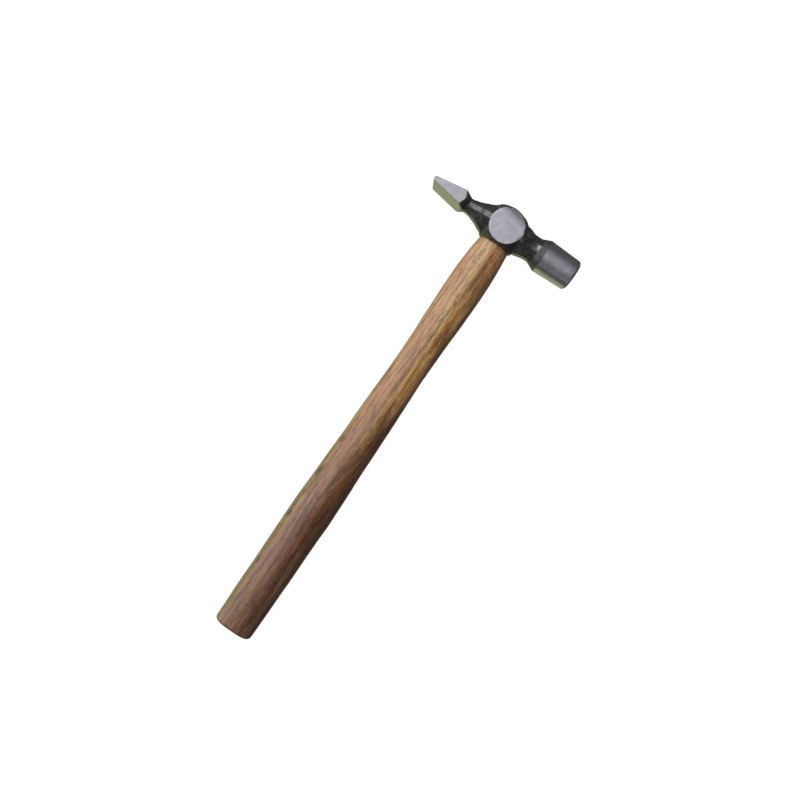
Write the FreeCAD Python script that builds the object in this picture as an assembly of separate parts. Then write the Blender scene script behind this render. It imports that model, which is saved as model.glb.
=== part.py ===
import FreeCAD, Part
import math
import os

# Cross-peen pin hammer: a forged steel head on a hardwood handle, held by a timber
# wedge and a steel wedge. Millimetres.
#
# The hammer lies on its lower cheek, +Z up. The head runs along X, with the wedge-shaped
# peen towards -X and the striking face towards +X. The handle runs along Y, with its butt
# towards -Y. The origin is the centre of the lower cheek flat.

# ---- driving dimensions ----
OVERALL_LENGTH = 303.0      # butt to the top of the handle, along Y

CHEEK_HALF = 11.1           # half of the head's thickness across the cheeks, along Z
CHEEK_RADIUS = 10.9         # round flat ground on each cheek
CHEEK_RISE = 0.6            # centre of that flat above the head's axis, along Y
CROWN_X = -2.0              # the arched top peaks a little towards the peen
CROWN_Y = 11.9
CROWN_RADIUS = 28.0
UNDERSIDE_Y = -11.0         # flat that the handle's shoulder meets

PEEN_TIP_X = -51.8
PEEN_NOSE_RADIUS = 1.6
PEEN_SLOPE = 0.163          # rise of each face of the wedge per unit of length
PEEN_HALF_WIDTH = 11.0      # along Z
PEEN_ROOT_X = -29.4

FACE_X = 50.2               # striking face
FACE_RADIUS = 7.7
POLL_END_X = 48.8
POLL_END_RADIUS = 9.8
POLL_COLLAR_X = 27.6
POLL_COLLAR_RADIUS = 10.65

# Eye, oval and waisted: (Y, full length along X, full width along Z)
EYE_MOUTH = (UNDERSIDE_Y, 19.4, 12.8)
EYE_WAIST = (-2.0, 18.8, 12.2)
EYE_TOP = (CROWN_Y, 20.6, 14.2)
EYE_OVERRUN = 3.0           # the cutting tool runs on past both mouths

TENON_PROUD = 0.4           # wood left above the crown of the head
WEDGE_ROOT_THICKNESS = 1.2
TIMBER_WEDGE_THICKNESS = 3.2
TIMBER_WEDGE_DEPTH = 15.0
KERF_WIDTH = 1.2
KERF_DEPTH = 17.0
STEEL_WEDGE_WIDTH = 10.0
STEEL_WEDGE_THICKNESS = 2.2
STEEL_WEDGE_TIP = 0.5
STEEL_WEDGE_DEPTH = 12.0
STEEL_WEDGE_BARBS = 4
STEEL_WEDGE_BARB_STEP = 0.12

BUTT_ROUNDING = 2.6

TENON_TOP_Y = CROWN_Y + TENON_PROUD
BUTT_Y = TENON_TOP_Y - OVERALL_LENGTH

# Handle sections below the head: (Y, width along X, thickness along Z)
HANDLE_SECTIONS = [
    (UNDERSIDE_Y, 19.8, 15.6),
    (-24.0, 22.4, 17.1),
    (-38.0, 23.8, 18.2),        # shoulder
    (-68.0, 22.7, 17.9),
    (-97.0, 21.4, 17.3),        # waist
    (-125.0, 22.6, 18.2),
    (-155.0, 23.7, 19.3),
    (-180.0, 24.8, 20.6),
    (-203.0, 26.2, 22.08),      # fullest part of the grip
    (-222.0, 25.8, 21.9),
    (-265.0, 25.4, 21.3),
    (BUTT_Y, 24.8, 20.8),
]

# Necks, eight-sided. At each X: half-height (Y), half-thickness (Z), and the sum of the
# two at the corner facets, which lie at 45 degrees.
PEEN_NECK = [
    (-25.7, 4.4, 5.5, 7.0),
    (-20.4, 5.4, 7.6, 9.1),
    (-16.0, 7.25, 9.6, 11.2),
    (-13.4, 8.6, 10.6, 12.2),
    (-10.8, 10.1, 11.0, 12.7),
]
POLL_NECK = [
    (10.2, 9.35, 11.0, 13.5),
    (12.0, 9.2, 10.8, 13.2),
    (14.0, 8.6, 10.3, 12.8),
    (17.0, 7.8, 9.3, 11.8),
    (20.0, 7.6, 8.75, 11.3),
    (25.5, 7.9, 9.0, 11.6),
]
NECK_INNER_X = 6.0          # the necks run on this far into the cheeks
ROOT_TWO = math.sqrt(2.0)


def vec(x, y=0.0, z=0.0):
    return FreeCAD.Vector(x, y, z)


def curve(points):
    """A straight edge through two points, a smooth one through more."""
    if len(points) == 2:
        return Part.makeLine(points[0], points[1])
    spline = Part.BSplineCurve()
    spline.interpolate(points)
    return spline.toShape()


def mirrored_prism(runs, direction, normal, reach):
    """A prism of an outline that is symmetric about the X axis.

    runs are lists of (x, half) that follow each other. half is measured along direction,
    and the outline is extruded by reach to both sides along normal.
    """
    def place(x, half):
        return vec(x) + direction * half

    edges = []
    for side in (1, -1):
        for run in runs:
            edges.append(curve([place(x, side * half) for x, half in run]))
    for x, half in (runs[0][0], runs[-1][-1]):
        if half > 0:
            edges.append(Part.makeLine(place(x, -half), place(x, half)))
    wire = Part.Wire(Part.__sortEdges__(edges))
    face = Part.Face(wire)
    face.translate(normal * -reach)
    return face.extrude(normal * (2 * reach))


def eight_sided(height_runs, width_runs, corner_runs):
    """The space inside four flats and four corner facets, each following its own outline."""
    reach = 40.0
    body = mirrored_prism(height_runs, vec(0, 1, 0), vec(0, 0, 1), reach)
    body = body.common(mirrored_prism(width_runs, vec(0, 0, 1), vec(0, 1, 0), reach))
    diagonal_runs = [[(x, c / ROOT_TWO) for x, c in run] for run in corner_runs]
    for sign in (1, -1):
        direction = vec(0, 1, sign) / ROOT_TWO
        normal = vec(0, -sign, 1) / ROOT_TWO
        body = body.common(mirrored_prism(diagonal_runs, direction, normal, reach))
    return body


def column(stations, index):
    return [(row[0], row[index]) for row in stations]


def peen_and_neck():
    """The cross peen, its shoulders, and the neck that flares into the cheeks."""
    slope_angle = math.atan(PEEN_SLOPE)
    nose_x = PEEN_TIP_X + PEEN_NOSE_RADIUS * (1 - math.sin(slope_angle))
    nose_half = PEEN_NOSE_RADIUS * math.cos(slope_angle)
    root_half = nose_half + PEEN_SLOPE * (PEEN_ROOT_X - nose_x)
    inner = -NECK_INNER_X

    heights = [
        [(nose_x, nose_half), (PEEN_ROOT_X, root_half)],
        [(PEEN_ROOT_X, root_half)] + column(PEEN_NECK, 1),
        [(PEEN_NECK[-1][0], PEEN_NECK[-1][1]), (inner, PEEN_NECK[-1][1])],
    ]
    shoulder_x = PEEN_ROOT_X + 0.3
    shoulder_foot = (-26.6, 5.3)
    widths = [
        [(PEEN_TIP_X, PEEN_HALF_WIDTH), (shoulder_x, PEEN_HALF_WIDTH)],
        [(shoulder_x, PEEN_HALF_WIDTH), (-27.9, 7.3), shoulder_foot],
        [shoulder_foot] + column(PEEN_NECK, 2),
        [(PEEN_NECK[-1][0], PEEN_NECK[-1][2]), (inner, PEEN_NECK[-1][2])],
    ]
    clear_of_corners = PEEN_HALF_WIDTH + root_half + 0.2
    corner_foot = (-26.8, 6.7)
    corners = [
        [(PEEN_TIP_X, clear_of_corners), (-31.4, clear_of_corners)],
        [(-31.4, clear_of_corners), (-29.8, 12.2), (-28.4, 8.9), corner_foot],
        [corner_foot] + column(PEEN_NECK, 3),
        [(PEEN_NECK[-1][0], PEEN_NECK[-1][3]), (inner, PEEN_NECK[-1][3])],
    ]
    body = eight_sided(heights, widths, corners)

    nose_centre = vec(PEEN_TIP_X + PEEN_NOSE_RADIUS, 0, -PEEN_HALF_WIDTH)
    nose = Part.makeCylinder(PEEN_NOSE_RADIUS, 2 * PEEN_HALF_WIDTH, nose_centre)
    return body.fuse(nose)


def poll_neck():
    inner = (NECK_INNER_X, POLL_NECK[0])
    runs = []
    for index in (1, 2, 3):
        outline = column(POLL_NECK, index)
        runs.append([[(inner[0], outline[0][1]), outline[0]], outline])
    return eight_sided(*runs)


def poll():
    """The round poll: a coned shoulder out of the neck, a slight taper, a broken edge."""
    profile = [
        (18.5, 0.0), (18.5, 6.4), (21.1, 7.6), (24.6, 9.3),
        (POLL_COLLAR_X, POLL_COLLAR_RADIUS),
        (POLL_END_X, POLL_END_RADIUS),
        (FACE_X, FACE_RADIUS), (FACE_X, 0.0),
    ]
    points = [vec(x, r) for x, r in profile]
    face = Part.Face(Part.makePolygon(points + points[:1]))
    return face.revolve(vec(0), vec(1), 360)


def under_crown(offset, floor_y, reach):
    """Everything between floor_y and the arched top raised by offset, within reach along Z."""
    radius = CROWN_RADIUS + offset
    centre_y = CROWN_Y - CROWN_RADIUS
    half = CHEEK_RADIUS + 1.2
    left_y = centre_y + math.sqrt(radius ** 2 - (half + CROWN_X) ** 2)
    right_y = centre_y + math.sqrt(radius ** 2 - (half - CROWN_X) ** 2)
    arc = Part.Arc(vec(-half, left_y), vec(CROWN_X, centre_y + radius), vec(half, right_y))
    sides = [
        Part.makeLine(vec(half, right_y), vec(half, floor_y)),
        Part.makeLine(vec(half, floor_y), vec(-half, floor_y)),
        Part.makeLine(vec(-half, floor_y), vec(-half, left_y)),
    ]
    face = Part.Face(Part.Wire([arc.toShape()] + sides))
    face.translate(vec(0, 0, -reach))
    return face.extrude(vec(0, 0, 2 * reach))


def cheeks():
    """The boss round the eye. Its facets are cut so that each cheek flat is a circle."""
    body = under_crown(0.0, UNDERSIDE_Y, CHEEK_HALF)
    reach = 40.0
    for sign in (1, -1):
        ellipse = Part.Ellipse(vec(0), CHEEK_RADIUS, CHEEK_RADIUS / ROOT_TWO)
        upper = Part.Face(Part.Wire(ellipse.toShape()))
        offset = CHEEK_HALF / ROOT_TWO
        band = Part.makePlane(2 * CHEEK_RADIUS, 2 * offset, vec(-CHEEK_RADIUS, -offset, 0))
        lower = upper.copy()
        upper.translate(vec(0, offset))
        lower.translate(vec(0, -offset))
        outline = band.fuse([upper, lower]).removeSplitter().Faces[0]
        outline.translate(vec(0, 0, -reach))
        prism = outline.extrude(vec(0, 0, 2 * reach))
        prism.rotate(vec(0), vec(1), 45 * sign)
        prism.translate(vec(0, CHEEK_RISE, 0))
        body = body.common(prism)
    return body


def oval(y, length, width):
    centre = vec(0, y, 0)
    ellipse = Part.Ellipse(centre + vec(length / 2), centre + vec(0, 0, width / 2), centre)
    return Part.Wire(ellipse.toShape())


def eye_tool():
    """The waisted oval through the head, run on past both mouths."""
    below = (EYE_MOUTH[0] - EYE_OVERRUN, EYE_MOUTH[1] + 0.3, EYE_MOUTH[2] + 0.3)
    above = (EYE_TOP[0] + EYE_OVERRUN, EYE_TOP[1] + 0.5, EYE_TOP[2] + 0.5)
    sections = [oval(*row) for row in (below, EYE_MOUTH, EYE_WAIST, EYE_TOP, above)]
    return Part.makeLoft(sections, True, False)


def hammer_head(eye):
    body = cheeks().fuse([peen_and_neck(), poll_neck(), poll()])
    return body.cut(eye).removeSplitter()


def taper_prism(top_y, depth, top_width, tip_width, along, across, length):
    """A wedge that narrows downwards. It is as wide as top_width along across, and
    length long along along."""
    half_top, half_tip = top_width / 2, tip_width / 2
    corners = [
        across * -half_top + vec(0, top_y), across * half_top + vec(0, top_y),
        across * half_tip + vec(0, top_y - depth), across * -half_tip + vec(0, top_y - depth),
    ]
    face = Part.Face(Part.makePolygon(corners + corners[:1]))
    face.translate(along * (-length / 2))
    return face.extrude(along * length)


def steel_wedge_blank():
    """The steel wedge's taper, stepped into shallow barbs that point upwards."""
    top = TENON_TOP_Y + 1.0
    tip_y = TENON_TOP_Y - STEEL_WEDGE_DEPTH
    run = (top - tip_y) / STEEL_WEDGE_BARBS
    growth = (STEEL_WEDGE_THICKNESS - STEEL_WEDGE_TIP) / STEEL_WEDGE_BARBS
    side = []
    for step in range(STEEL_WEDGE_BARBS):
        low = STEEL_WEDGE_TIP / 2 + growth / 2 * step
        side.append((low, tip_y + run * step))
        side.append((low + growth / 2 + STEEL_WEDGE_BARB_STEP, tip_y + run * (step + 1)))
    points = [vec(x, y) for x, y in side] + [vec(-x, y) for x, y in reversed(side)]
    face = Part.Face(Part.makePolygon(points + points[:1]))
    face.translate(vec(0, 0, -STEEL_WEDGE_WIDTH / 2))
    return face.extrude(vec(0, 0, STEEL_WEDGE_WIDTH))


def tenon_and_wedges(eye):
    """What fills the eye: the tenon, split by its kerf, and the two wedges driven into it."""
    filled = eye.common(under_crown(TENON_PROUD, UNDERSIDE_Y, CHEEK_HALF))
    # The cut follows the arched top, so each wedge starts above it and is trimmed flush.
    timber_blank = taper_prism(
        TENON_TOP_Y, TIMBER_WEDGE_DEPTH, TIMBER_WEDGE_THICKNESS, WEDGE_ROOT_THICKNESS,
        vec(1), vec(0, 0, 1), 3 * CHEEK_RADIUS)
    kerf = taper_prism(
        TENON_TOP_Y, KERF_DEPTH, KERF_WIDTH, KERF_WIDTH,
        vec(1), vec(0, 0, 1), 3 * CHEEK_RADIUS)
    steel = steel_wedge_blank().common(filled)
    timber = timber_blank.common(filled).cut(steel)
    tenon = filled.cut(timber_blank).cut(kerf).cut(steel)
    return tenon, timber, steel


def handle(tenon):
    sections = [oval(*row) for row in reversed(HANDLE_SECTIONS)]
    grip = Part.makeLoft(sections, True, False)
    butt_edges = [e for e in grip.Edges if abs(e.CenterOfMass.y - BUTT_Y) < 0.1]
    grip = grip.makeFillet(BUTT_ROUNDING, butt_edges)
    return grip.fuse(tenon)


def export(shape, name):
    shape = shape.copy()
    shape.translate(vec(0, 0, CHEEK_HALF))
    if len(shape.Solids) == 1:
        shape = shape.Solids[0]
    box = shape.BoundBox
    print(name, "valid", shape.isValid(), "solids", len(shape.Solids),
          "volume", round(shape.Volume),
          "low", [round(v, 2) for v in (box.XMin, box.YMin, box.ZMin)],
          "high", [round(v, 2) for v in (box.XMax, box.YMax, box.ZMax)])
    shape.exportStep("parts/" + name + ".step")


def main():
    os.makedirs("parts", exist_ok=True)
    eye = eye_tool()
    tenon, timber, steel = tenon_and_wedges(eye)
    export(hammer_head(eye), "hammer_head")
    export(handle(tenon), "handle")
    export(timber, "timber_wedge")
    export(steel, "steel_wedge")


main()
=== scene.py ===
"""Looks of a cross-peen pin hammer: forged steel head, hardwood handle, two wedges.

Every piece is meshed here from its section outlines and stands for one CAD node. The
pieces' lengths are in millimetres, with Z taken from the head's axis, until place() turns
them into the frame's metres.
"""
import math

import bmesh
import bpy
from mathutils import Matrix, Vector, noise


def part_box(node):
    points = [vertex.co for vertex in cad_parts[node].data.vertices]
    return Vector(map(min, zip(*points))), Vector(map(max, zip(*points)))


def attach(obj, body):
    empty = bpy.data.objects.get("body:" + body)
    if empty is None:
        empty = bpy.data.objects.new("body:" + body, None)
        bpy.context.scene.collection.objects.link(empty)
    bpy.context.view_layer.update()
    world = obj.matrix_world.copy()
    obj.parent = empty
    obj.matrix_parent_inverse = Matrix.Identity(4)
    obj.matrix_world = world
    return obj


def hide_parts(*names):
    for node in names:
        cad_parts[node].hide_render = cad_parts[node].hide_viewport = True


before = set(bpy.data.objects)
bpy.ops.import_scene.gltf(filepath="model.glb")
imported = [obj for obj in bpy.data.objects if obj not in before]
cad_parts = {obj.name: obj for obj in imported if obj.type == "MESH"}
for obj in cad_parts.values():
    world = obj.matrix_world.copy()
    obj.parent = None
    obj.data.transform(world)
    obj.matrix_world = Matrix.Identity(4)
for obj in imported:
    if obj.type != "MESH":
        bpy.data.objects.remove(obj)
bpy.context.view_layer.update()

MM = 0.001
ROOT_TWO = math.sqrt(2.0)


def box_in_mm(node):
    low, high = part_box(node)
    return Vector(low) / MM, Vector(high) / MM


# ---- places read from the frame ----
head_low, head_high = box_in_mm("hammer_head")
handle_low, handle_high = box_in_mm("handle")
AXIS_Z = (head_low.z + head_high.z) / 2
CHEEK_HALF = (head_high.z - head_low.z) / 2
PEEN_TIP_X = head_low.x
FACE_X = head_high.x
CROWN_Y = head_high.y
TENON_TOP_Y = handle_high.y
BUTT_Y = handle_low.y

# ---- head ----
CHEEK_RADIUS = 10.9
CHEEK_RISE = 0.6            # centre of each round flat above the head's axis, along Y
CROWN_X = -2.0
CROWN_RADIUS = 28.0
UNDERSIDE_Y = -11.0
BOSS_FILLET = 0.8           # length over which the boss runs down onto a neck

PEEN_NOSE_RADIUS = 1.6
PEEN_SLOPE = 0.163
PEEN_HALF_WIDTH = 11.0
PEEN_ROOT_X = -29.4
PEEN_CHAMFER = 0.3
POLL_END_X = FACE_X - 1.4
POLL_COLLAR_X = 27.6

# Necks, eight-sided: X, half-height (Y), half-thickness (Z), and the sum of the two at the
# corner facets, which lie at 45 degrees.
PEEN_NECK = [
    (-25.7, 4.4, 5.5, 7.0), (-20.4, 5.4, 7.6, 9.1), (-16.0, 7.25, 9.6, 11.2),
    (-13.4, 8.6, 10.6, 12.2), (-10.8, 10.1, 11.0, 12.7),
]
POLL_NECK = [
    (10.2, 9.35, 11.0, 13.5), (12.0, 9.2, 10.8, 13.2), (14.0, 8.6, 10.3, 12.8),
    (17.0, 7.8, 9.3, 11.8), (20.0, 7.6, 8.75, 11.3), (25.5, 7.9, 9.0, 11.6),
]
# The peen's end of the neck, where its sides and its corners step in: (X, value)
PEEN_SHOULDER_WIDTHS = [(-29.1, PEEN_HALF_WIDTH), (-27.9, 7.3), (-26.6, 5.3)]
PEEN_SHOULDER_CORNERS = [(-31.4, 16.2), (-29.8, 12.2), (-28.4, 8.9), (-26.8, 6.7)]
# The poll's outline: X, radius, and how much each corner is rounded.
POLL_START_X = 19.0
POLL_OUTLINE = [
    (POLL_START_X, 6.65, 0.0), (POLL_COLLAR_X, 10.65, 0.35),
    (POLL_END_X, 9.8, 0.35), (FACE_X, 7.7, 0.4), (FACE_X, 0.3, 0.0),
]
NECK_EDGE_RADIUS = 1.1
GROUND_EDGE_RADIUS = 0.3
# Over how much length to each side the outlines' corners are rounded.
HEIGHT_ROUNDING = 0.4
THICKNESS_ROUNDING = 0.35
CORNER_ROUNDING = 0.4
FORGED_UNEVENNESS = 0.16
GROUND_UNEVENNESS = 0.03

# ---- eye, tenon and wedges: Y, half-length along X, half-width along Z ----
EYE_SECTIONS = [
    (UNDERSIDE_Y - 3.0, 9.85, 6.55), (UNDERSIDE_Y, 9.7, 6.4), (-2.0, 9.4, 6.1),
    (CROWN_Y, 10.3, 7.1), (CROWN_Y + 3.0, 10.55, 7.35),
]
EYE_POINTS = 72
TENON_GAP = 0.05
TENON_PROUD = TENON_TOP_Y - CROWN_Y
TENON_ROUNDING = 0.3
TENON_ARCH_DEPTH = 5.5      # below the crown, where the tenon's rings start to arch
TIMBER_WEDGE = {"depth": 15.0, "top": 3.2, "tip": 1.2}
TIMBER_WEDGE_PROUD = 0.12   # above the tenon's top
SLOT = {"depth": 17.0, "tip": 1.0}
SLOT_OVERRUN = 2.0          # above the tenon's top, for a clean cut
SLOT_REACH = 14.0           # half-length along X, past the tenon's sides
WEDGE_GAP = 0.07
STEEL_WEDGE = {"depth": 12.0, "top": 2.2, "tip": 0.5, "width": 10.0, "barbs": 4}
STEEL_WEDGE_SUNK = 0.15     # below the tenon's top
STEEL_WEDGE_GAP = 0.04
BARB_STEP = 0.12

# ---- handle below the head: Y, width along X, thickness along Z ----
HANDLE_SECTIONS = [
    (BUTT_Y, 24.8, 20.8), (-265.0, 25.4, 21.3), (-222.0, 25.8, 21.9), (-203.0, 26.2, 22.08),
    (-180.0, 24.8, 20.6), (-155.0, 23.7, 19.3), (-125.0, 22.6, 18.2), (-97.0, 21.4, 17.3),
    (-68.0, 22.7, 17.9), (-38.0, 23.8, 18.2), (-24.0, 22.4, 17.1), (UNDERSIDE_Y, 19.8, 15.6),
]
BUTT_ROUNDING = 2.1
SHOULDER_ROUNDING = 0.5
HANDLE_UNEVENNESS = 0.22
HANDLE_POINTS = 96
HANDLE_RINGS = 230


# ---- small tools ----
def lerp(a, b, t):
    return a + (b - a) * t


def smooth(low, high, value):
    t = min(max((value - low) / (high - low), 0.0), 1.0)
    return t * t * (3.0 - 2.0 * t)


def within(x, rise, fall):
    """1 between the stretch where it rises and the one where it falls, 0 outside them."""
    return smooth(*rise, x) * (1 - smooth(*fall, x))


def column(rows, index):
    return [(row[0], row[index]) for row in rows]


def follow(points, x):
    """The smooth curve through (x, value) points, level beyond its ends."""
    if x <= points[0][0]:
        return points[0][1]
    if x >= points[-1][0]:
        return points[-1][1]
    last = len(points) - 1
    i = max(k for k in range(last) if points[k][0] <= x)

    def slope(k):
        before, after = points[max(k - 1, 0)], points[min(k + 1, last)]
        return (after[1] - before[1]) / (after[0] - before[0])

    (x0, v0), (x1, v1) = points[i], points[i + 1]
    span = x1 - x0
    t = (x - x0) / span
    value = v0 * (2 * t ** 3 - 3 * t ** 2 + 1) + v1 * (3 * t ** 2 - 2 * t ** 3)
    value += span * slope(i) * (t ** 3 - 2 * t ** 2 + t)
    return value + span * slope(i + 1) * (t ** 3 - t ** 2)


def straight(points, x):
    """The same with straight lines between the points."""
    if x <= points[0][0]:
        return points[0][1]
    for (x0, v0), (x1, v1) in zip(points, points[1:]):
        if x <= x1:
            return lerp(v0, v1, (x - x0) / (x1 - x0))
    return points[-1][1]


def softened(outline, x, reach):
    """An outline averaged over reach to both sides, which rounds its corners."""
    weights = {-1.0: 1, -0.5: 2, 0.0: 3, 0.5: 2, 1.0: 1}
    total = sum(weight * outline(x + step * reach) for step, weight in weights.items())
    return total / sum(weights.values())


def steps(start, stop, count, include_stop=False):
    shares = range(count + 1) if include_stop else range(count)
    return [lerp(start, stop, k / count) for k in shares]


def place(x, y, z):
    return Vector((x, y, z + AXIS_Z)) * MM


# ---- meshes ----
def new_object(name, verts, faces):
    mesh = bpy.data.meshes.new(name)
    mesh.from_pydata([place(*v) for v in verts], [], faces)
    graph = bmesh.new()
    graph.from_mesh(mesh)
    bmesh.ops.recalc_face_normals(graph, faces=graph.faces)
    graph.to_mesh(mesh)
    graph.free()
    obj = bpy.data.objects.new(name, mesh)
    bpy.context.scene.collection.objects.link(obj)
    return obj


def skin(name, rings):
    """A closed skin over rings of points, with a flat face at each end."""
    count = len(rings[0])
    verts = [point for ring in rings for point in ring]
    faces = []
    for i in range(len(rings) - 1):
        for j in range(count):
            k = (j + 1) % count
            low, high = i * count, (i + 1) * count
            faces.append((low + j, low + k, high + k, high + j))
    faces.append(tuple(range(count)))
    faces.append(tuple(range(len(verts) - count, len(verts))))
    return new_object(name, verts, faces)


def prism(name, outline, half_length, along):
    """An outline of (across, y) points drawn out along X or Z."""
    rings = []
    for end in (-half_length, half_length):
        if along == "X":
            rings.append([(end, y, across) for across, y in outline])
        else:
            rings.append([(across, y, end) for across, y in outline])
    return skin(name, rings)


def apply_modifiers(obj):
    graph = bpy.context.evaluated_depsgraph_get()
    graph.update()
    mesh = bpy.data.meshes.new_from_object(obj.evaluated_get(graph))
    obj.modifiers.clear()
    obj.data = mesh


def combine(obj, tool, operation):
    modifier = obj.modifiers.new("combine", "BOOLEAN")
    modifier.object = tool
    modifier.operation = operation
    modifier.solver = "EXACT"
    apply_modifiers(obj)
    bpy.data.objects.remove(tool)


def bevel(obj, width, segments, angle):
    modifier = obj.modifiers.new("bevel", "BEVEL")
    modifier.width = width * MM
    modifier.segments = segments
    modifier.limit_method = "ANGLE"
    modifier.angle_limit = math.radians(angle)
    apply_modifiers(obj)


def shade(obj, sharp_angle):
    mesh = obj.data
    mesh.polygons.foreach_set("use_smooth", [True] * len(mesh.polygons))
    mesh.set_sharp_from_angle(angle=math.radians(sharp_angle))
    modifier = obj.modifiers.new("weighted_normals", "WEIGHTED_NORMAL")
    modifier.keep_sharp = True


def roughen(obj, amount, scale, seed):
    """Moves each vertex along its normal by noise. amount(x, y, z) is in millimetres."""
    mesh = obj.data
    normals = [vertex.normal.copy() for vertex in mesh.vertices]
    for vertex, normal in zip(mesh.vertices, normals):
        x, y, z = vertex.co / MM
        sample = Vector((x, y, z)) / scale + Vector((seed, 0.0, 0.0))
        vertex.co += normal * (noise.noise(sample) * amount(x, y, z - AXIS_Z) * MM)


def finish_piece(obj, material, slot):
    obj.data.materials.clear()
    obj.data.materials.append(material)
    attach(obj, "root")
    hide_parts(slot_node[slot])


slot_node = {
    "forged_steel": "hammer_head", "handle_wood": "handle",
    "wedge_wood": "timber_wedge", "wedge_steel": "steel_wedge",
}


# ---- head ----
FACE_TURN = math.radians(45.0)
FACE_POINTS = (7, 9, 9, 9, 7, 9, 9, 9)    # inner points on each side, from +Z round by +Y
ARC_STEPS = 3


def eight_sided_ring(distances, rounding):
    """(z, y) points round eight sides, each that far from the axis, with rounded corners."""
    count = len(distances)
    normals = [Vector((math.cos(k * FACE_TURN), math.sin(k * FACE_TURN))) for k in range(count)]
    tangents = [Vector((-n.y, n.x)) for n in normals]
    reach_after = []
    reach_before = []
    for k, distance in enumerate(distances):
        ahead, behind = distances[(k + 1) % count], distances[k - 1]
        reach_after.append((ahead - distance * math.cos(FACE_TURN)) / math.sin(FACE_TURN))
        reach_before.append((behind - distance * math.cos(FACE_TURN)) / math.sin(FACE_TURN))
    lengths = [a + b for a, b in zip(reach_after, reach_before)]
    cuts = []
    for k in range(count):
        room = 0.45 * min(lengths[k], lengths[(k + 1) % count])
        cuts.append(min(rounding * math.tan(FACE_TURN / 2), room))
    points = []
    for k in range(count):
        middle = normals[k] * distances[k]
        start = middle - tangents[k] * (reach_before[k] - cuts[k - 1])
        end = middle + tangents[k] * (reach_after[k] - cuts[k])
        inner = FACE_POINTS[k]
        for step in range(1, inner + 1):
            share = 0.5 - 0.5 * math.cos(math.pi * step / (inner + 1))
            points.append(start.lerp(end, share))
        radius = cuts[k] / math.tan(FACE_TURN / 2)
        centre = end - normals[k] * radius
        for step in range(ARC_STEPS + 1):
            turn = (k + step / ARC_STEPS) * FACE_TURN
            points.append(centre + radius * Vector((math.cos(turn), math.sin(turn))))
    return points


def nose_start():
    """Where the nose's round meets the wedge's faces: X, half-height."""
    angle = math.atan(PEEN_SLOPE)
    x = PEEN_TIP_X + PEEN_NOSE_RADIUS * (1 - math.sin(angle))
    return x, PEEN_NOSE_RADIUS * math.cos(angle)


def neck_height(x):
    nose_x, nose_half = nose_start()
    root_half = nose_half + PEEN_SLOPE * (PEEN_ROOT_X - nose_x)
    if x < nose_x:
        beyond = PEEN_TIP_X + PEEN_NOSE_RADIUS - x
        return math.sqrt(max(PEEN_NOSE_RADIUS ** 2 - beyond ** 2, 0.0))
    if x < PEEN_ROOT_X:
        return nose_half + PEEN_SLOPE * (x - nose_x)
    if x < 0:
        return follow([(PEEN_ROOT_X, root_half)] + column(PEEN_NECK, 1), x)
    return follow(column(POLL_NECK, 1), x)


def neck_thickness(x):
    if x < PEEN_SHOULDER_WIDTHS[-1][0]:
        return straight(PEEN_SHOULDER_WIDTHS, x)
    if x < 0:
        return follow(PEEN_SHOULDER_WIDTHS[-1:] + column(PEEN_NECK, 2), x)
    return follow(column(POLL_NECK, 2), x)


def neck_corner(x):
    if x < PEEN_SHOULDER_CORNERS[-1][0]:
        return straight(PEEN_SHOULDER_CORNERS, x)
    if x < 0:
        return follow(PEEN_SHOULDER_CORNERS[-1:] + column(PEEN_NECK, 3), x)
    return follow(column(POLL_NECK, 3), x)


def crown(x, proud=0.0):
    """Height of the arched top at x."""
    radius = CROWN_RADIUS + proud
    return CROWN_Y - CROWN_RADIUS + math.sqrt(radius ** 2 - (x - CROWN_X) ** 2)


def head_distances(x):
    """How far each of the eight sides is from the axis at x."""
    on_wedge = x < PEEN_ROOT_X - 1.0
    top = neck_height(x) if on_wedge else softened(neck_height, x, HEIGHT_ROUNDING)
    side = softened(neck_thickness, x, THICKNESS_ROUNDING)
    corner = softened(neck_corner, x, CORNER_ROUNDING)
    bottom, upper, lower = top, corner, corner
    on_boss = 1.0 - smooth(CHEEK_RADIUS, CHEEK_RADIUS + BOSS_FILLET, abs(x))
    if on_boss > 0:
        top = max(top, lerp(top, crown(x), on_boss))
        bottom = lerp(bottom, -UNDERSIDE_Y, on_boss)
    if abs(x) < CHEEK_RADIUS:
        chord = math.sqrt(CHEEK_RADIUS ** 2 - x ** 2)
        side = CHEEK_HALF
        upper = max(upper, CHEEK_HALF + CHEEK_RISE + chord)
        lower = max(lower, CHEEK_HALF - CHEEK_RISE + chord)
    upper = min(upper, top + side - min(PEEN_CHAMFER, 0.3 * top))
    lower = min(lower, bottom + side - min(PEEN_CHAMFER, 0.3 * bottom))
    upper /= ROOT_TWO
    lower /= ROOT_TWO
    return [side, upper, top, upper, side, lower, bottom, lower]


def edge_radius(x):
    on_peen_neck = within(x, (-28.5, -26.0), (-13.5, -11.2))
    on_poll_neck = smooth(11.2, 13.5, x)
    return lerp(GROUND_EDGE_RADIUS, NECK_EDGE_RADIUS, max(on_peen_neck, on_poll_neck))


def head_ring(x):
    return [(x, p.y, p.x) for p in eight_sided_ring(head_distances(x), edge_radius(x))]


def polar(points):
    """(angle, radius) of each (x, y, z) point round the X axis, by rising angle."""
    return sorted((math.atan2(y, z) % math.tau, math.hypot(y, z)) for _, y, z in points)


def radius_at(outline, angle):
    wrapped = [(outline[-1][0] - math.tau, outline[-1][1])] + outline
    wrapped.append((outline[0][0] + math.tau, outline[0][1]))
    return straight(wrapped, angle % math.tau)


POLL_EVEN_X = 25.5          # from here on the ring's points lie at even angles
POLL_BLEND_POWER = 26       # how tightly the neck's sides run out into the round


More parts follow.
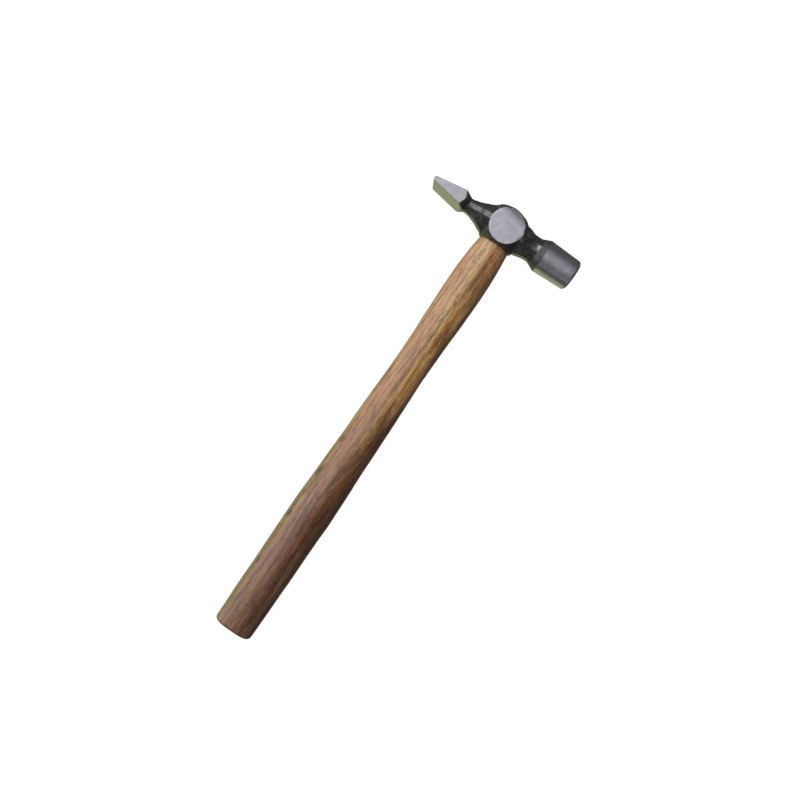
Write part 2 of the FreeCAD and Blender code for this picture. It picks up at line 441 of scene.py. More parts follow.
def poll_ring(x, radius, even_angles):
    """The round poll, and the neck that it grows out of."""
    section = head_ring(x)
    outline = polar(section)
    evenness = smooth(POLL_START_X, POLL_EVEN_X, x)
    points = []
    for (_, y, z), even in zip(section, even_angles):
        own = math.atan2(y, z)
        difference = (even - own + math.pi) % math.tau - math.pi
        angle = own + difference * evenness
        reach = radius
        if x < POLL_COLLAR_X - 0.6:
            neck = radius_at(outline, angle)
            both = neck ** POLL_BLEND_POWER + radius ** POLL_BLEND_POWER
            reach = both ** (1 / POLL_BLEND_POWER)
        points.append((x, reach * math.sin(angle), reach * math.cos(angle)))
    return points


def rounded_path(corners, spacing):
    """(x, radius) points along straight runs whose corners are rounded by arcs."""
    path = []
    cursor = Vector(corners[0][:2])
    for index in range(1, len(corners)):
        corner = Vector(corners[index][:2])
        back = (corner - Vector(corners[index - 1][:2])).normalized()
        rounding = corners[index][2]
        cut = 0.0
        if rounding:
            ahead = (Vector(corners[index + 1][:2]) - corner).normalized()
            turn = back.angle(ahead)
            cut = rounding * math.tan(turn / 2)
        end = corner - back * cut
        count = max(1, round((end - cursor).length / spacing))
        path += [cursor.lerp(end, k / count) for k in range(count)]
        cursor = end
        if rounding:
            exit_point = corner + ahead * cut
            for k in range(4):
                t = k / 4
                path.append(end.lerp(corner, t).lerp(corner.lerp(exit_point, t), t))
            cursor = exit_point
    return path + [cursor]


SHOULDER_FROM_X, SHOULDER_TO_X = -31.6, -25.6
BOSS_FROM_X = 11.8          # on both sides of the boss
BESIDE_CHEEK_X = CHEEK_RADIUS + 0.04


def head_stations():
    """X of each ring, from the peen to the poll, closest where the section changes most."""
    nose_x, _ = nose_start()
    nose_centre = PEEN_TIP_X + PEEN_NOSE_RADIUS
    stations = []
    for angle in (9, 20, 32, 45, 60):
        stations.append(nose_centre - PEEN_NOSE_RADIUS * math.cos(math.radians(angle)))
    stations += steps(nose_x, SHOULDER_FROM_X, 24)
    stations += steps(SHOULDER_FROM_X, SHOULDER_TO_X, 30)
    stations += steps(SHOULDER_TO_X, -BOSS_FROM_X, 30)
    stations += steps(-BOSS_FROM_X, -BESIDE_CHEEK_X, 6)
    stations += [CHEEK_RADIUS * math.sin(math.radians(a)) for a in range(-87, 88, 3)]
    stations += steps(BESIDE_CHEEK_X, BOSS_FROM_X, 6)
    stations += steps(BOSS_FROM_X, POLL_START_X, 18)
    return stations


def head_roughness(x, y, z):
    """How uneven the surface is: forged on the necks, ground elsewhere."""
    on_necks = within(x, (-28.0, -26.0), (26.0, 27.5))
    on_cheek = 1 - smooth(CHEEK_RADIUS - 0.5, CHEEK_RADIUS, math.hypot(x, y - CHEEK_RISE))
    on_cheek *= smooth(CHEEK_HALF - 0.4, CHEEK_HALF - 0.1, abs(z))
    return lerp(GROUND_UNEVENNESS, FORGED_UNEVENNESS, on_necks * (1 - on_cheek))


def oval_ring(y, half_length, half_width, count, fullness=2.0):
    """An ellipse, or a squarer oval where fullness is over 2."""
    ring = []
    for k in range(count):
        angle = math.tau * k / count
        c, s = math.cos(angle), math.sin(angle)
        reach = (abs(c) ** fullness + abs(s) ** fullness) ** (-1 / fullness)
        ring.append((half_length * reach * c, y, half_width * reach * s))
    return ring


def eye_at(y, gap=0.0):
    return (follow(column(EYE_SECTIONS, 1), y) - gap, follow(column(EYE_SECTIONS, 2), y) - gap)


def eye_tool():
    rings = []
    for y in steps(EYE_SECTIONS[0][0], EYE_SECTIONS[-1][0], 17, include_stop=True):
        rings.append(oval_ring(y, *eye_at(y), EYE_POINTS))
    return skin("eye_tool", rings)


# How bright each zone of the head is, from 0, as forged, to 1: mostly how brightly it is ground.
# The cheeks' dimmer tops are a painted reflection; the neck spot is partly a painted highlight.
PEEN_GRIND = 0.74
CHEEK_GRIND = 0.9
# Painted reflection: the cheek flats are painted dimmer towards the crown, down to this.
CHEEK_TOP_PAINTED_DIM = 0.36      # towards the crown
STRIP_GRIND = 0.2           # the facet along the peen's neck
# Partly ground brighter, partly a painted highlight on that facet.
PATCH_GRIND_AND_HIGHLIGHT = 0.58          # a spot on the side of the poll's neck
PATCH_Y = 1.0


def outward_bends(mesh):
    """How sharply the surface turns away at each vertex, in radians per millimetre."""
    bends = [0.0] * len(mesh.vertices)
    for edge in mesh.edges:
        a, b = (mesh.vertices[index] for index in edge.vertices)
        gap = (b.co - a.co) / MM
        bend = (b.normal - a.normal).dot(gap) / max(gap.length_squared, 1e-6)
        for index in edge.vertices:
            bends[index] = max(bends[index], bend)
    return bends


def cheek_grind_and_painted_dim(x, y, facing):
    if abs(x) >= CHEEK_RADIUS + 0.1:
        return 0.0
    # Painted reflection: the flat is painted darker towards the crown.
    towards_crown = smooth(4.5, 10.0, y + 0.15 * x)
    return smooth(0.93, 0.99, facing) * lerp(CHEEK_GRIND, CHEEK_TOP_PAINTED_DIM, towards_crown)


def patch_grind_and_highlight(x, y, facing):
    # Partly a brighter ground spot, partly a painted highlight where the facet catches the key
    # light.
    lengthwise = within(x, (21.2, 22.6), (23.2, 24.6))
    across = 1 - smooth(0.5, 3.2, abs(y - PATCH_Y))
    return PATCH_GRIND_AND_HIGHLIGHT * smooth(0.86, 0.97, facing) * lengthwise * across


def steel_zone(x, y, facing, bend):
    """How bright the steel is, from grinding, painted reflection and painted highlight, how worn
    it is, and 1 on the turned poll.

    facing is how squarely the surface faces along Z, from 0 to 1.
    """
    on_cheek = cheek_grind_and_painted_dim(x, y, facing)
    on_peen = 1 - smooth(-29.6, -28.8, x)
    on_poll = smooth(POLL_COLLAR_X, POLL_COLLAR_X + 0.5, x)
    on_strip = smooth(0.86, 0.93, facing) * within(x, (-26.5, -24.5), (-11.0, -10.8))
    # This brightness includes the painted reflection on the cheeks' tops and the painted highlight
    # at the neck spot.
    ground = max(on_cheek, on_strip * STRIP_GRIND, on_peen * PEEN_GRIND, on_poll,
                 patch_grind_and_highlight(x, y, facing))
    on_necks = within(x, (-28.6, -27.5), (28.2, 28.8)) * (1 - on_cheek)
    worn = smooth(0.9, 2.6, bend) * lerp(1.0, 0.12, on_necks) * lerp(1.0, 0.3, on_poll)
    worn *= lerp(0.3, 1.0, smooth(CHEEK_RADIUS, CHEEK_RADIUS + 1.5, math.hypot(x, y)))
    return ground, worn, on_poll


def paint_head(obj):
    """Stores the steel's zones as a colour on each vertex."""
    mesh = obj.data
    colours = []
    for vertex, bend in zip(mesh.vertices, outward_bends(mesh)):
        x, y, _ = vertex.co / MM
        colours += [*steel_zone(x, y, abs(vertex.normal.z), bend), 1.0]
    attribute = mesh.attributes.new("steel_zone", "FLOAT_COLOR", "POINT")
    attribute.data.foreach_set("color", colours)


def build_head():
    rings = [head_ring(x) for x in head_stations()]
    even = [math.atan2(p.y, p.x) for p in eight_sided_ring([10.0] * 8, 2.0)]
    for point in rounded_path(POLL_OUTLINE, spacing=0.55):
        rings.append(poll_ring(point.x, point.y, even))
    head = skin("pin_hammer_head", rings)
    roughen(head, head_roughness, scale=3.4, seed=11.0)
    roughen(head, lambda *p: 0.45 * head_roughness(*p), scale=1.3, seed=47.0)
    combine(head, eye_tool(), "DIFFERENCE")
    shade(head, 40)
    paint_head(head)
    return head


# ---- handle and wedges ----
def handle_at(y):
    return (follow(column(HANDLE_SECTIONS, 1), y) / 2, follow(column(HANDLE_SECTIONS, 2), y) / 2)


def tenon_rings(first_y, gap, proud, count):
    """Rings of the tenon, from first_y up to and over its arched top."""
    rings = []
    straight_top = CROWN_Y - TENON_ARCH_DEPTH
    for y in steps(first_y, straight_top, 14):
        rings.append(oval_ring(y, *eye_at(y, gap), count))
    full_length, full_width = eye_at(CROWN_Y, gap)
    for share in steps(0.0, 1.0, 6, include_stop=True):
        ring = []
        for x, _, z in oval_ring(0.0, *eye_at(CROWN_Y, gap), count):
            y = lerp(straight_top, crown(x, proud) - TENON_ROUNDING, share)
            length, width = eye_at(y, gap)
            ring.append((x * length / full_length, y, z * width / full_width))
        rings.append(ring)
    for turn in (30, 60, 90):
        inset = TENON_ROUNDING * (1 - math.cos(math.radians(turn)))
        drop = TENON_ROUNDING * (1 - math.sin(math.radians(turn)))
        ring = []
        for x, _, z in oval_ring(0.0, full_length - inset, full_width - inset, count):
            ring.append((x, crown(x, proud) - drop, z))
        rings.append(ring)
    top_length, top_width = full_length - TENON_ROUNDING, full_width - TENON_ROUNDING
    for share in (0.8, 0.6, 0.4, 0.2, 0.04):
        ring = []
        for x, _, z in oval_ring(0.0, top_length * share, top_width * share, count):
            ring.append((x, crown(x, proud), z))
        rings.append(ring)
    return rings


def taper(top_y, depth, top_width, tip_width, overrun):
    """The outline of a wedge that narrows downwards, run on above its top."""
    growth = (top_width - tip_width) / depth
    high = top_width / 2 + growth * overrun / 2
    return [(-high, top_y + overrun), (high, top_y + overrun),
            (tip_width / 2, top_y - depth), (-tip_width / 2, top_y - depth)]


def steel_outline(extra):
    """The steel wedge's taper, stepped into shallow barbs. extra is added all round."""
    top = TENON_TOP_Y + 1.0
    tip_y = TENON_TOP_Y - STEEL_WEDGE["depth"]
    run = (top - tip_y) / STEEL_WEDGE["barbs"]
    growth = (STEEL_WEDGE["top"] - STEEL_WEDGE["tip"]) / STEEL_WEDGE["barbs"]
    side = []
    for step in range(STEEL_WEDGE["barbs"]):
        low = STEEL_WEDGE["tip"] / 2 + growth / 2 * step
        side.append((low + extra, tip_y + run * step - extra))
        side.append((low + growth / 2 + BARB_STEP + extra, tip_y + run * (step + 1) - extra))
    return side + [(-across, y) for across, y in reversed(side)]


def cut_steel_slot(obj):
    half_width = STEEL_WEDGE["width"] / 2 + STEEL_WEDGE_GAP
    tool = prism("steel_slot_tool", steel_outline(STEEL_WEDGE_GAP), half_width, "Z")
    combine(obj, tool, "DIFFERENCE")


def trim_to_tenon(wedge, depth, proud):
    """Keeps what lies inside the tenon's sides and below its top, raised by proud."""
    rings = tenon_rings(CROWN_Y - depth - 3.0, TENON_GAP, TENON_PROUD + proud, HANDLE_POINTS)
    combine(wedge, skin("tenon_tool", rings), "INTERSECT")


def grip_fullness(y):
    """How square the oval is: an ellipse near the head, squarer towards the butt."""
    return follow([(BUTT_Y, 3.4), (BUTT_Y + 30.0, 2.6), (-150.0, 2.0)], y)


def build_handle():
    rings = []
    butt_length, butt_width = (half - BUTT_ROUNDING for half in handle_at(BUTT_Y))
    for share in (0.03, 0.25, 0.5, 0.75, 0.92):
        rings.append(oval_ring(BUTT_Y, butt_length * share, butt_width * share, HANDLE_POINTS,
                               grip_fullness(BUTT_Y)))
    for turn in steps(0, 90, 8):
        inset = BUTT_ROUNDING * (1 - math.sin(math.radians(turn)))
        y = BUTT_Y + BUTT_ROUNDING * (1 - math.cos(math.radians(turn)))
        length, width = handle_at(y)
        rings.append(oval_ring(y, length - inset, width - inset, HANDLE_POINTS,
                               grip_fullness(y)))
    shoulder_y = UNDERSIDE_Y - SHOULDER_ROUNDING
    for y in steps(BUTT_Y + BUTT_ROUNDING, shoulder_y, HANDLE_RINGS):
        rings.append(oval_ring(y, *handle_at(y), HANDLE_POINTS, grip_fullness(y)))
    for turn in (0, 30, 60, 90):
        inset = SHOULDER_ROUNDING * (1 - math.cos(math.radians(turn)))
        y = shoulder_y + SHOULDER_ROUNDING * math.sin(math.radians(turn))
        length, width = handle_at(shoulder_y)
        rings.append(oval_ring(y, length - inset, width - inset, HANDLE_POINTS))
    rings += tenon_rings(UNDERSIDE_Y, TENON_GAP, TENON_PROUD, HANDLE_POINTS)
    handle = skin("pin_hammer_handle", rings)

    def unevenness(x, y, z):
        return HANDLE_UNEVENNESS * smooth(UNDERSIDE_Y - 2.0, UNDERSIDE_Y - 12.0, y)

    roughen(handle, unevenness, scale=16.0, seed=5.0)
    roughen(handle, lambda *p: 0.25 * unevenness(*p), scale=4.0, seed=31.0)
    slot_top = TIMBER_WEDGE["top"] + 2 * WEDGE_GAP
    slot = taper(TENON_TOP_Y, SLOT["depth"], slot_top, SLOT["tip"], SLOT_OVERRUN)
    combine(handle, prism("slot_tool", slot, SLOT_REACH, "X"), "DIFFERENCE")
    cut_steel_slot(handle)
    shade(handle, 40)
    return handle


def build_timber_wedge():
    depth, top, tip = TIMBER_WEDGE["depth"], TIMBER_WEDGE["top"], TIMBER_WEDGE["tip"]
    outline = taper(TENON_TOP_Y, depth, top, tip, SLOT_OVERRUN)
    wedge = prism("pin_hammer_timber_wedge", outline, SLOT_REACH, "X")
    trim_to_tenon(wedge, depth, TIMBER_WEDGE_PROUD)
    cut_steel_slot(wedge)
    bevel(wedge, 0.12, 2, 60)
    shade(wedge, 30)
    return wedge


def build_steel_wedge():
    wedge = prism("pin_hammer_steel_wedge", steel_outline(0.0), STEEL_WEDGE["width"] / 2, "Z")
    trim_to_tenon(wedge, STEEL_WEDGE["depth"], -STEEL_WEDGE_SUNK)
    bevel(wedge, 0.15, 2, 40)
    shade(wedge, 30)
    return wedge


# ---- materials ----
class Nodes:
    """Short names for building one node tree."""

    def __init__(self, tree):
        self.tree = tree
        tree.nodes.clear()

    def add(self, kind, inputs=None, **settings):
        node = self.tree.nodes.new(kind)
        for key, value in settings.items():
            setattr(node, key, value)
        for key, value in (inputs or {}).items():
            self.feed(node.inputs[key], value)
        return node

    def feed(self, socket, value):
        if isinstance(value, bpy.types.NodeSocket):
            self.tree.links.new(value, socket)
        elif isinstance(value, tuple) and len(value) == 3 and len(socket.default_value) == 4:
            socket.default_value = (*value, 1.0)
        else:
            socket.default_value = value

    def math(self, operation, a, b=0.0):
        return self.add("ShaderNodeMath", {0: a, 1: b}, operation=operation).outputs[0]

    def times(self, a, b):
        return self.math("MULTIPLY", a, b)

    def plus(self, a, b):
        return self.math("ADD", a, b)

    def vector(self, operation, a, b=(0.0, 0.0, 0.0)):
        node = self.add("ShaderNodeVectorMath", {0: a, 1: b}, operation=operation)
        return node.outputs["Value" if operation in ("DOT_PRODUCT", "LENGTH") else 0]

    def colour(self, red, green, blue):
        return self.add("ShaderNodeCombineColor", {0: red, 1: green, 2: blue}).outputs[0]

    def mix(self, factor, a, b, blend="MIX"):
        node = self.add("ShaderNodeMix", {0: factor, 6: a, 7: b}, data_type="RGBA",
                        blend_type=blend)
        return node.outputs[2]

    def tint(self, colour, factor, by):
        """The colour multiplied by another, by as much as the factor says."""
        return self.mix(factor, colour, by, "MULTIPLY")

    def between(self, value, low, high, start=0.0, end=1.0):
        inputs = {"Value": value, "From Min": low, "From Max": high, "To Min": start,
                  "To Max": end}
        node = self.add("ShaderNodeMapRange", inputs, interpolation_type="SMOOTHSTEP")
        return node.outputs[0]

    def within(self, value, rise, fall):
        """1 between the stretch where it rises and the one where it falls, 0 outside them."""
        return self.times(self.between(value, *rise), self.between(value, *fall, 1.0, 0.0))

    def noise(self, point, density, detail=2.0, roughness=0.5, distortion=0.0):
        """Noise that is finer along an axis the higher its density is there."""
        inputs = {"Vector": self.vector("MULTIPLY", point, density), "Scale": 1.0,
                  "Detail": detail, "Roughness": roughness, "Distortion": distortion}
        return self.add("ShaderNodeTexNoise", inputs).outputs[0]

    def ramp(self, factor, stops):
        node = self.add("ShaderNodeValToRGB", {0: factor})
        elements = node.color_ramp.elements
        while len(elements) < len(stops):
            elements.new(1.0)
        for element, (position, colour) in zip(elements, stops):
            element.position = position
            element.color = (*colour, 1.0)
        return node.outputs[0]

    def millimetres(self):
        """The surface point in millimetres, in the frame."""
        point = self.add("ShaderNodeTexCoord").outputs["Object"]
        return self.vector("MULTIPLY", point, (1 / MM, 1 / MM, 1 / MM))

    def split(self, vector):
        return self.add("ShaderNodeSeparateXYZ", {0: vector}).outputs

    def bump(self, height, distance, strength=1.0, normal=None):
        inputs = {"Height": height, "Distance": distance * MM, "Strength": strength}
        if normal is not None:
            inputs["Normal"] = normal
        return self.add("ShaderNodeBump", inputs).outputs[0]


def new_material(name):
    material = bpy.data.materials.new(name)
    material.use_nodes = True
    return material, Nodes(material.node_tree)


def principled(nodes, inputs):
    shader = nodes.add("ShaderNodeBsdfPrincipled", inputs)
    nodes.add("ShaderNodeOutputMaterial", {"Surface": shader.outputs[0]})


FORGED_DARK = (0.016, 0.014, 0.011)
FORGED_PALE = (0.056, 0.051, 0.044)
GROUND_COLOUR = (0.74, 0.73, 0.78)
WORN_COLOUR = (0.62, 0.61, 0.60)


def steel_material():
    material, nodes = new_material("forged_and_ground_steel")
    zone = nodes.add("ShaderNodeAttribute", attribute_name="steel_zone")
    channels = nodes.add("ShaderNodeSeparateColor", {0: zone.outputs["Color"]}).outputs
    # ground holds the grinding, plus a painted reflection on the cheeks' tops and a painted
    # highlight at the neck spot.
    ground, worn, turned = channels[0], channels[1], channels[2]
    point = nodes.millimetres()

    mottle = nodes.noise(point, (0.22, 0.22, 0.22), detail=5.0, roughness=0.62)
    dents = nodes.noise(point, (0.45, 0.45, 0.45), detail=3.0)
    blotch = nodes.noise(point, (0.8, 0.8, 0.8), detail=4.0)
    scratch_flat = nodes.noise(point, (3.5, 0.5, 3.5), detail=3.0, roughness=0.7)
    scratch_round = nodes.noise(point, (7.0, 0.25, 0.25), detail=3.0, roughness=0.7)
    scratch = nodes.mix(turned, scratch_flat, scratch_round)

    wear_edge = nodes.times(worn, nodes.between(blotch, 0.35, 0.6))
    brightness = nodes.math("MAXIMUM", ground, nodes.times(wear_edge, 0.75))
    brightness = nodes.times(brightness, nodes.between(mottle, 0.3, 0.7, 0.87, 1.03))
    patchy = nodes.times(nodes.between(ground, 0.6, 0.3),
                         nodes.between(blotch, 0.62, 0.38, 0.0, 0.5))
    brightness = nodes.times(brightness, nodes.math("SUBTRACT", 1.0, patchy))
    forged = nodes.mix(nodes.between(dents, 0.35, 0.68), FORGED_DARK, FORGED_PALE)
    colour = nodes.mix(brightness, forged, GROUND_COLOUR)
    colour = nodes.mix(nodes.times(wear_edge, 0.5), colour, WORN_COLOUR)
    tone = nodes.between(scratch, 0.25, 0.75, 0.95, 1.05)
    colour = nodes.tint(colour, 1.0, nodes.colour(tone, tone, tone))

    roughness = nodes.plus(nodes.between(ground, 0.0, 1.0, 0.34, 0.2),
                           nodes.between(mottle, 0.3, 0.7, -0.04, 0.05))
    forging = nodes.between(ground, 0.05, 0.4, 1.0, 0.03)
    normal = nodes.bump(nodes.times(dents, forging), 0.6, strength=0.7)
    normal = nodes.bump(nodes.times(blotch, forging), 0.12, strength=0.5, normal=normal)
    normal = nodes.bump(scratch, 0.006, strength=0.4, normal=normal)
    principled(nodes, {"Base Color": colour, "Metallic": nodes.between(ground, 0.0, 0.4, 0.2, 1.0),
                       "Roughness": roughness, "Normal": normal, "Coat Weight": 0.6,
                       "Coat Roughness": 0.22})
    return material


HANDLE_WOOD = {"light": (0.55, 0.322, 0.145), "middle": (0.415, 0.220, 0.083),
               "dark": (0.225, 0.102, 0.035), "pith": (-34.0, -38.0), "ring_width": 2.7,
               "gloss": 1.0, "is_handle": True}
WEDGE_WOOD = {"light": (0.66, 0.48, 0.29), "middle": (0.55, 0.38, 0.21),
              "dark": (0.40, 0.25, 0.13), "pith": (-60.0, 20.0), "ring_width": 1.9,
              "gloss": 0.1, "is_handle": False}
PALE_BAND_TINT = (1.06, 1.22, 1.12)
DARK_BAND_TINT = (0.92, 0.80, 0.72)
PORE_TINT = (0.41, 0.29, 0.21)
FINE_PORE_TINT = (0.55, 0.44, 0.35)
TAN_TINT = (1.50, 1.60, 1.45)
# Browner wood in the lower half, which is also painted shade for the light falling off towards the
# butt.
LOWER_BROWN_AND_SHADE_TINT = (0.70, 0.59, 0.47)
# Painted shade on the lower grip's +X side, which is turned away from the key light.
LOWER_SIDE_PAINTED_SHADE = (0.74, 0.67, 0.58)
END_GRAIN_TINT = (0.5, 0.44, 0.38)
# Painted reflection: a yellow tint along the grip's lower -X edge, for the olive light below.
PAINTED_REFLECTION_YELLOW = (0.33, 0.24, 0.07)
# Small dark flecks on the -X side of the grip: Y, radius.
FLECKS = [(-159.0, 0.7), (-182.0, 1.2), (-213.0, 1.0), (-247.0, 0.9)]
FLECK_INSET = 2.3
FLECK_COLOUR = (0.08, 0.035, 0.012)


def early_wood(nodes, point, pith, ring_width):
    """1 in the early wood of each year's ring. The rings waver about the pith."""
    drift = nodes.noise(point, (0.05, 0.012, 0.05), detail=1.0)
    waver = nodes.noise(point, (0.35, 0.03, 0.35), detail=2.0)
    x, _, z = nodes.split(point)
    across = nodes.math("POWER", nodes.math("SUBTRACT", x, pith[0]), 2.0)
    depth = nodes.math("POWER", nodes.math("SUBTRACT", z, pith[1]), 2.0)
    distance = nodes.math("SQRT", nodes.plus(across, depth))
    distance = nodes.plus(distance, nodes.times(drift, 9.0))
    distance = nodes.plus(distance, nodes.times(waver, 1.6))
    year = nodes.math("FRACT", nodes.math("DIVIDE", distance, ring_width))
    return nodes.within(year, (0.35, 0.85), (0.9, 1.0))


def lower_half(nodes, y):
    """0 above the grip, rising to 1 in its lower part."""
    return nodes.between(y, -95.0, -205.0)


def pore_crowding(nodes, point, early, is_handle):
    """How much denser the pores lie. On the handle, more so low down and towards +X."""
    crowding = nodes.noise(point, (0.22, 0.03, 0.22), detail=2.0)
    crowding = nodes.plus(nodes.between(crowding, 0.38, 0.62, -0.07, 0.03),
                          nodes.times(early, 0.05))
    if is_handle:
        x, y, _ = nodes.split(point)
        crowding = nodes.plus(crowding, nodes.times(lower_half(nodes, y), 0.045))
        crowding = nodes.plus(crowding, nodes.between(x, -6.0, 4.0, -0.03, 0.03))
    return crowding


def fleck_centre(y):
    """On the handle's upper surface, a little in from its edge."""
    half_length, half_width = handle_at(y)
    fullness = grip_fullness(y)
    share = 1 - FLECK_INSET / half_length
    rise = (1 - share ** fullness) ** (1 / fullness)
    return -half_length * share, y, AXIS_Z + half_width * rise


def add_flecks(nodes, colour, point):
    fray = nodes.noise(point, (0.9, 0.9, 0.9), detail=3.0)
    for y, radius in FLECKS:
        away = nodes.vector("SUBTRACT", point, fleck_centre(y))
        away = nodes.vector("LENGTH", nodes.vector("MULTIPLY", away, (1.0, 0.6, 1.0)))
        away = nodes.plus(away, nodes.between(fray, 0.3, 0.7, -1.0, 1.0))
        spot = nodes.between(away, radius * 2.0, radius)
        colour = nodes.mix(nodes.times(spot, 0.95), colour, FLECK_COLOUR)
    return colour


def tint_handle(nodes, colour, point, streak):
    """The handle's colours: a tan streak on the +X side above the grip, a browner lower half with
    painted shade towards the butt and on its +X side, dark end grain, a painted yellow reflection
    on the -X side, and flecks."""
    x, y, _ = nodes.split(point)
    tan = nodes.times(nodes.within(x, (0.5, 3.0), (6.0, 11.0)),
                      nodes.within(y, (-160.0, -115.0), (-75.0, -40.0)))
    colour = nodes.tint(colour, tan, TAN_TINT)
    lower = lower_half(nodes, y)
    # Browner wood, and also painted shade for the light falling off towards the butt.
    colour = nodes.tint(colour, lower, LOWER_BROWN_AND_SHADE_TINT)
    # Painted shade: the lower +X side, turned away from the key light, is painted darker.
    painted_shade_side = nodes.times(lower, nodes.between(x, 0.0, 7.0))
    colour = nodes.tint(colour, painted_shade_side, LOWER_SIDE_PAINTED_SHADE)
    end_grain = nodes.plus(nodes.between(y, BUTT_Y + 1.8, BUTT_Y + 0.4),
                           nodes.between(y, CROWN_Y - 5.0, CROWN_Y - 4.0))
    colour = nodes.tint(colour, end_grain, END_GRAIN_TINT)
    # Painted reflection: yellow along the lower -X edge, added to the olive light from below.
    yellow = nodes.times(nodes.between(x, -7.8, -10.5), lower)
    yellow = nodes.times(yellow, nodes.between(streak, 0.3, 0.6, 0.1, 0.7))
    colour = nodes.mix(yellow, colour, PAINTED_REFLECTION_YELLOW)
    return add_flecks(nodes, colour, point)


def wood_material(name, light, middle, dark, pith, ring_width, gloss, is_handle):
    """Ring-porous hardwood whose grain runs along Y.

    pith is where the tree's centre lay, as (x, z).
    """
    material, nodes = new_material(name)
    point = nodes.millimetres()
    early = early_wood(nodes, point, pith, ring_width)
    streak = nodes.noise(point, (1.0, 0.04, 1.0), detail=4.0, roughness=0.6, distortion=0.3)
    fibre = nodes.noise(point, (3.0, 0.12, 3.0), detail=4.0, roughness=0.7)
    band = nodes.noise(point, (0.24, 0.011, 0.24), detail=2.0)
    pores = nodes.noise(point, (3.4, 0.17, 3.4), detail=2.0, roughness=0.6)
    fine_pores = nodes.noise(point, (5.5, 0.35, 5.5), detail=1.0)
    crowding = pore_crowding(nodes, point, early, is_handle)

    tone = nodes.plus(nodes.times(streak, 0.55), nodes.times(fibre, 0.45))
    tone = nodes.math("SUBTRACT", tone, nodes.times(early, 0.05))
    colour = nodes.ramp(tone, [(0.38, dark), (0.5, middle), (0.63, light)])
    colour = nodes.tint(colour, nodes.between(band, 0.5, 0.62), PALE_BAND_TINT)
    colour = nodes.tint(colour, nodes.between(band, 0.5, 0.38), DARK_BAND_TINT)
    if is_handle:
        colour = tint_handle(nodes, colour, point, streak)
    pore_mark = nodes.between(nodes.plus(pores, crowding), 0.56, 0.62)
    fine_mark = nodes.between(nodes.plus(fine_pores, crowding), 0.60, 0.68)
    colour = nodes.tint(colour, nodes.times(fine_mark, 0.6), FINE_PORE_TINT)
    colour = nodes.tint(colour, nodes.times(pore_mark, 0.9), PORE_TINT)

    roughness = nodes.plus(nodes.between(streak, 0.3, 0.7, 0.42, 0.34),
                           nodes.times(pore_mark, 0.2))
    height = nodes.math("SUBTRACT", nodes.times(fibre, 0.4), pore_mark)
    principled(nodes, {"Base Color": colour, "Roughness": roughness,
                       "Normal": nodes.bump(height, 0.1, strength=0.6),
                       "Coat Weight": gloss, "Coat Roughness": 0.16, "Coat IOR": 1.65})
    return material


def wedge_steel_material():
    material, nodes = new_material("scaled_wedge_steel")
    point = nodes.millimetres()
    scale = nodes.noise(point, (1.1, 1.1, 1.1), detail=5.0, roughness=0.65)
    colour = nodes.ramp(scale, [(0.3, (0.12, 0.115, 0.11)), (0.5, (0.27, 0.26, 0.255)),
                                (0.7, (0.36, 0.27, 0.20))])
    normal = nodes.bump(scale, 0.12, strength=0.7)
    principled(nodes, {"Base Color": colour, "Metallic": 0.85, "Normal": normal,
                       "Roughness": nodes.between(scale, 0.3, 0.7, 0.4, 0.62)})
    return material


# ---- studio ----
# An edge is where a light begins and where it is full, as cosines of the angle to it.
KEY_DIRECTION = Vector((-0.76, 0.07, 0.64)).normalized()
KEY_LEVEL = 2.9
KEY_CEILING = 1.0
KEY_SHARPNESS = 4.0
FILL_DIRECTION = Vector((0.62, -0.70, 0.35)).normalized()
FILL_EDGE = (0.8, 0.97)
FILL_LEVEL = 0.22
ROOM_LEVEL = 0.09
BLUE_SHARE = 1.05
BELOW_DIRECTION = Vector((-0.45, -0.50, -0.74)).normalized()
BELOW_EDGE = (0.5, 0.85)
BELOW_COLOUR = (0.37, 0.39, 0.225)
# The soft box, the floor and the backdrop are in metres.
SOFTBOX = {"position": (-0.17, 0.12, 0.26), "target": (0.0, -0.10, 0.0), "size": 0.3,
           "power": 1.0}
FLOOR_CENTRE = (0.0, -0.12, 0.0)
FLOOR_SIZE = 6.0
FLOOR_GLOW, FLOOR_PALENESS = 0.97, 0.12
BACKDROP_RADIUS = 8.0
BACKDROP_GLOW, BACKDROP_PALENESS = 1.0, 0.0


def build_world():
    """Soft studio light by direction: brightest towards the key, a weak fill from the
    other side, and an olive grey from below."""
    world = bpy.data.worlds.new("studio_light")
    bpy.context.scene.world = world
    world.use_nodes = True
    nodes = Nodes(world.node_tree)
    direction = nodes.add("ShaderNodeTexCoord").outputs["Generated"]
    towards_key = nodes.vector("DOT_PRODUCT", direction, tuple(KEY_DIRECTION))
    towards_fill = nodes.vector("DOT_PRODUCT", direction, tuple(FILL_DIRECTION))
    towards_below = nodes.vector("DOT_PRODUCT", direction, tuple(BELOW_DIRECTION))
    key = nodes.math("POWER", nodes.math("MAXIMUM", towards_key, 0.0), KEY_SHARPNESS)
    key = nodes.math("MINIMUM", nodes.times(key, KEY_LEVEL), KEY_CEILING)
    fill = nodes.between(towards_fill, *FILL_EDGE, ROOM_LEVEL, ROOM_LEVEL + FILL_LEVEL)
    level = nodes.plus(key, fill)
    white = nodes.colour(level, level, nodes.times(level, BLUE_SHARE))
    colour = nodes.mix(nodes.between(towards_below, *BELOW_EDGE), white, BELOW_COLOUR)
    background = nodes.add("ShaderNodeBackground", {"Color": colour, "Strength": 1.0})
    nodes.add("ShaderNodeOutputWorld", {"Surface": background.outputs[0]})


def add_softbox(name, position, target, size, power):
    light = bpy.data.lights.new(name, "AREA")
    light.shape = "DISK"
    light.size = size
    light.energy = power
    lamp = bpy.data.objects.new(name, light)
    lamp.location = position
    lamp.rotation_mode = "QUATERNION"
    lamp.rotation_quaternion = (Vector(target) - Vector(position)).to_track_quat("-Z", "Y")
    lamp.visible_camera = False
    lamp.visible_glossy = False
    bpy.context.scene.collection.objects.link(lamp)


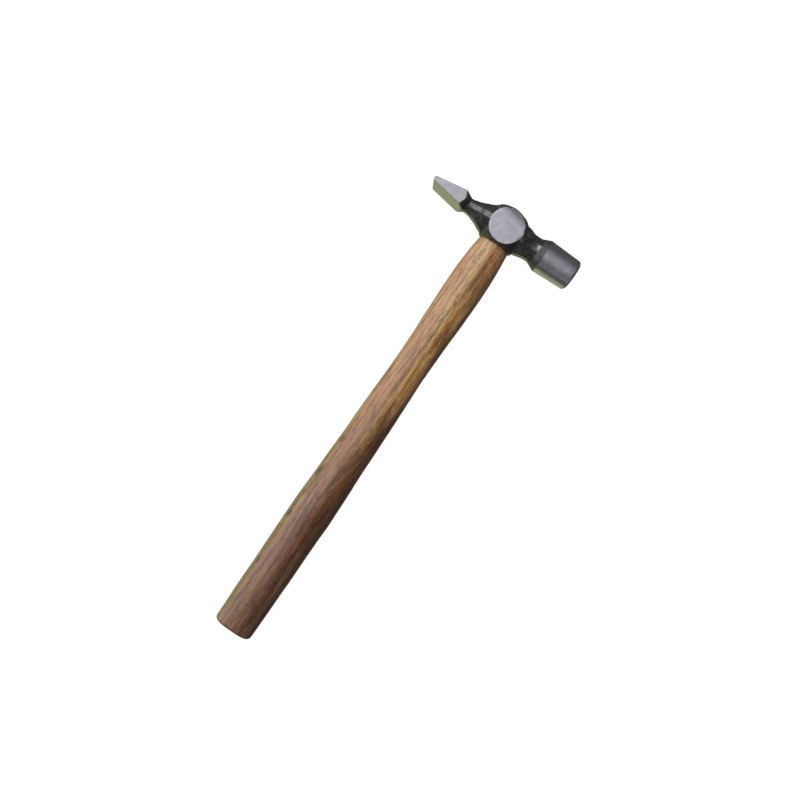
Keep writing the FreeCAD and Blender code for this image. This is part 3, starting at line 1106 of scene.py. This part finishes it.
def stage_material(name, glow, paleness):
    """Pale paper that glows a little, so that it stays nearly white in the picture."""
    material, nodes = new_material(name)
    emission = nodes.add("ShaderNodeEmission", {"Color": (1.0, 1.0, 1.0), "Strength": glow})
    paper = nodes.add("ShaderNodeBsdfDiffuse", {"Color": (paleness,) * 3})
    both = nodes.add("ShaderNodeAddShader", {0: emission.outputs[0], 1: paper.outputs[0]})
    nodes.add("ShaderNodeOutputMaterial", {"Surface": both.outputs[0]})
    return material


def seen_by_camera_only(obj):
    obj.visible_diffuse = False
    obj.visible_glossy = False
    obj.visible_transmission = False
    obj.visible_shadow = False


def build_stage():
    bpy.ops.mesh.primitive_plane_add(size=FLOOR_SIZE, location=FLOOR_CENTRE)
    floor = bpy.context.object
    floor.name = "studio_floor"
    floor.data.materials.append(stage_material("pale_floor", FLOOR_GLOW, FLOOR_PALENESS))
    bpy.ops.mesh.primitive_uv_sphere_add(segments=48, ring_count=24, radius=BACKDROP_RADIUS)
    dome = bpy.context.object
    dome.name = "studio_backdrop"
    dome.data.materials.append(
        stage_material("pale_backdrop", BACKDROP_GLOW, BACKDROP_PALENESS))
    for obj in (floor, dome):
        seen_by_camera_only(obj)


# The camera's place is in millimetres, like the pieces.
CAMERA_AT = (5.87, -120.49, AXIS_Z + 492.74)
CAMERA_ROLL = 34.34
CAMERA_LENS = 36.63
SENSOR_WIDTH = 36.0


def build_camera():
    """Straight down over the hammer, turned about the line of sight."""
    data = bpy.data.cameras.new("camera")
    data.lens = CAMERA_LENS
    data.sensor_width = SENSOR_WIDTH
    data.clip_start = 0.01
    data.clip_end = 50.0
    camera = bpy.data.objects.new("camera", data)
    camera.location = Vector(CAMERA_AT) * MM
    camera.rotation_euler = (0.0, 0.0, math.radians(CAMERA_ROLL))
    bpy.context.scene.collection.objects.link(camera)
    bpy.context.scene.camera = camera


build_camera()
bpy.context.scene.view_settings.view_transform = "Standard"
build_world()
build_stage()
add_softbox("key_softbox", **SOFTBOX)

finish_piece(build_head(), steel_material(), "forged_steel")
handle_wood = wood_material("oiled_hardwood", **HANDLE_WOOD)
finish_piece(build_handle(), handle_wood, "handle_wood")
wedge_wood = wood_material("wedge_hardwood", **WEDGE_WOOD)
finish_piece(build_timber_wedge(), wedge_wood, "wedge_wood")
finish_piece(build_steel_wedge(), wedge_steel_material(), "wedge_steel")
